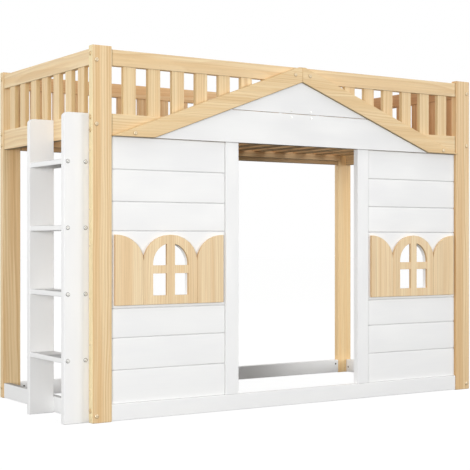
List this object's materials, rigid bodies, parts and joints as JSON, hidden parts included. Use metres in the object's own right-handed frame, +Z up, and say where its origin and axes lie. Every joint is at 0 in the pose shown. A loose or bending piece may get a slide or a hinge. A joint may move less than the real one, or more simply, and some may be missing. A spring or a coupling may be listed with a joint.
{
  "type": "house loft bed",
  "caption": "Pine loft bed with guard slats all round, a white planked playhouse front with doorway, arched windows with shutters and a gable, and an end ladder.",
  "frame": {"origin": "middle of the overall footprint on the floor, ladder and roof boards included", "axes": "+X along the bed from the ladder end to the other end, +Y from the house front to the rear, +Z up"},
  "size_m": [2.1762, 0.9832, 1.52],
  "materials": {
    "pine": "clear satin lacquer on pine",
    "white_paint": "satin white paint on wood",
    "zinc": "bright zinc plated bolts, screws and barrel nuts",
    "webbing": "woven cotton strap"
  },
  "bodies": {
    "root": {"post_front_left": "pine", "post_front_right": "pine", "post_rear_left": "pine", "post_rear_right": "pine", "deck_rail_front": "pine", "top_rail_front": "pine", "foot_rail_front": "white_paint", "guard_slats_front": "pine", "deck_rail_rear": "pine", "top_rail_rear": "pine", "foot_rail_rear": "white_paint", "guard_slats_rear": "pine", "deck_rail_left": "pine", "top_rail_left": "pine", "foot_rail_left": "white_paint", "guard_slats_left": "pine", "deck_rail_right": "pine", "top_rail_right": "pine", "foot_rail_right": "white_paint", "guard_slats_right": "pine", "deck_ledger_front": "pine", "deck_ledger_rear": "pine", "slat_roll": "pine", "wall_plank_left_1": "white_paint", "wall_plank_left_2": "white_paint", "wall_plank_left_3": "white_paint", "wall_plank_left_4": "white_paint", "wall_plank_left_5": "white_paint", "wall_plank_left_6": "white_paint", "window_board_left": "white_paint", "window_frame_left": "pine", "shutter_left_a": "pine", "shutter_left_b": "pine", "wall_batten_left_a": "white_paint", "wall_batten_left_b": "white_paint", "door_jamb_left": "white_paint", "roof_board_left": "pine", "wall_plank_right_1": "white_paint", "wall_plank_right_2": "white_paint", "wall_plank_right_3": "white_paint", "wall_plank_right_4": "white_paint", "wall_plank_right_5": "white_paint", "wall_plank_right_6": "white_paint", "window_board_right": "white_paint", "window_frame_right": "pine", "shutter_right_a": "pine", "shutter_right_b": "pine", "wall_batten_right_a": "white_paint", "wall_batten_right_b": "white_paint", "door_jamb_right": "white_paint", "roof_board_right": "pine", "gable_board_lower": "white_paint", "gable_board_upper": "white_paint", "gable_cleat": "pine", "ladder_stile_front": "white_paint", "ladder_stile_rear": "white_paint", "ladder_tread_1": "white_paint", "ladder_tread_2": "white_paint", "ladder_tread_3": "white_paint", "ladder_tread_4": "white_paint"}
  },
  "joints": []
}
